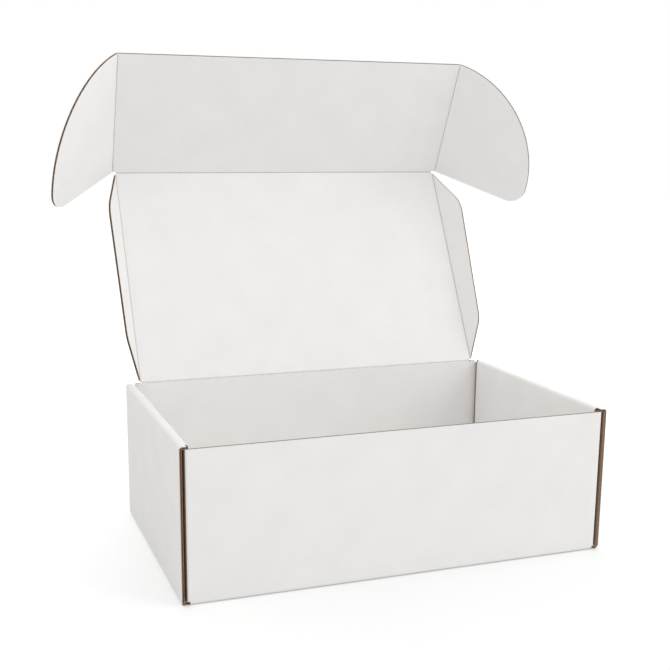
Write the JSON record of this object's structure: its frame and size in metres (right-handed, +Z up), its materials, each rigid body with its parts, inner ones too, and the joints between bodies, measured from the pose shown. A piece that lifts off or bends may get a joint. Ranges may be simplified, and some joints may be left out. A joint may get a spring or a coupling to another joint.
{
  "type": "corrugated mailer box",
  "caption": "Open white corrugated mailer box with double side walls, a hinged lid with side wings, and a tuck flap with rounded ears.",
  "frame": {"origin": "middle of the tray's underside", "axes": "+X to the right along the front wall, +Y from the front wall to the lid hinge, +Z up"},
  "size_m": [0.3932, 0.2649, 0.3444],
  "materials": {
    "board": "matte"
  },
  "bodies": {
    "tray": {"tray": "board"},
    "lid": {"lid_panel": "board"},
    "tuck_flap": {"tuck_flap": "board"},
    "ear_left": {"ear_left": "board"},
    "ear_right": {"ear_right": "board"},
    "wing_left": {"wing_left": "board"},
    "wing_right": {"wing_right": "board"}
  },
  "joints": [
    {"name": "lid_hinge", "type": "hinge", "parent": "tray", "child": "lid", "pos_m": [0, 0.0892, 0.102], "axis": [-1, 0, 0], "range_deg": [-93, 61]},
    {"name": "tuck_flap_fold", "type": "hinge", "parent": "lid", "child": "tuck_flap", "pos_m": [0, 0.17414, 0.25523], "axis": [-1, 0, 0], "range_deg": [-55, 55]},
    {"name": "ear_left_fold", "type": "hinge", "parent": "tuck_flap", "child": "ear_left", "pos_m": [-0.14195, 0.17414, 0.25523], "axis": [0, 0.4384, -0.8988], "range_deg": [-40, 50]},
    {"name": "ear_right_fold", "type": "hinge", "parent": "tuck_flap", "child": "ear_right", "pos_m": [0.14195, 0.17414, 0.25523], "axis": [0, -0.4384, 0.8988], "range_deg": [-40, 50]},
    {"name": "wing_left_fold", "type": "hinge", "parent": "lid", "child": "wing_left", "pos_m": [-0.13955, 0.0892, 0.102], "axis": [0, -0.4848, -0.8746], "range_deg": [-30, 60]},
    {"name": "wing_right_fold", "type": "hinge", "parent": "lid", "child": "wing_right", "pos_m": [0.13955, 0.0892, 0.102], "axis": [0, 0.4848, 0.8746], "range_deg": [-30, 60]}
  ]
}
